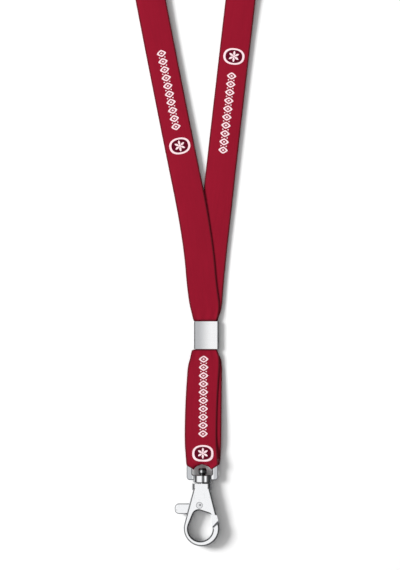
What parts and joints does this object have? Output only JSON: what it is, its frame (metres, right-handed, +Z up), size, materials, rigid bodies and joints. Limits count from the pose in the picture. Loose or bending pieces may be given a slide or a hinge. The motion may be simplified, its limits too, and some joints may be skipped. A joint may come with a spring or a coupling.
{
  "type": "lanyard",
  "caption": "Flat woven neck lanyard: a ribbon loop held by a folded metal crimp, with a short drop loop, a swivel eye and a sprung trigger hook.",
  "frame": {"origin": "on the crimp's back face, half way along it, in line with the hook's swivel axis; the lanyard lies on z = 0", "axes": "+Y along the lanyard from the hook to the neck, +X to the wearer's printed right, +Z up from the surface it lies on"},
  "size_m": [0.0979, 0.5004, 0.015],
  "materials": {
    "ribbon": "fine plain-woven polyester with a soft sheen and printed motifs",
    "crimp": "nickel-plated sheet, lightly brushed",
    "plating": "bright-plated die casting",
    "pin": "turned steel",
    "spring": "drawn wire"
  },
  "bodies": {
    "strap": {"left_leg": "ribbon", "left_twist": "ribbon", "neck_arc": "ribbon", "right_twist": "ribbon", "right_leg": "ribbon", "front_fall": "ribbon", "rear_fall": "ribbon", "crimp_band": "crimp"},
    "eye": {"eye_fold": "ribbon", "swivel_eye": "plating"},
    "hook": {"hook_body": "plating", "swivel_rivet": "plating", "gate_pin": "pin", "gate_spring": "spring"},
    "gate": {"gate_lever": "plating"}
  },
  "joints": [
    {"name": "eye_swing", "type": "hinge", "parent": "strap", "child": "eye", "pos_m": [0, -0.057, 0.0036], "axis": [1, 0, 0], "range_deg": [-75, 75]},
    {"name": "hook_swivel", "type": "hinge", "parent": "eye", "child": "hook", "pos_m": [0, -0.072, 0.0036], "axis": [0, 1, 0], "continuous": true},
    {"name": "gate_open", "type": "hinge", "parent": "hook", "child": "gate", "pos_m": [-0.0015, -0.0848, 0.0036], "axis": [0, 0, -1], "range_deg": [0, 28], "stiffness_Nm_per_rad": 0.02, "springref_deg": -28.65}
  ]
}
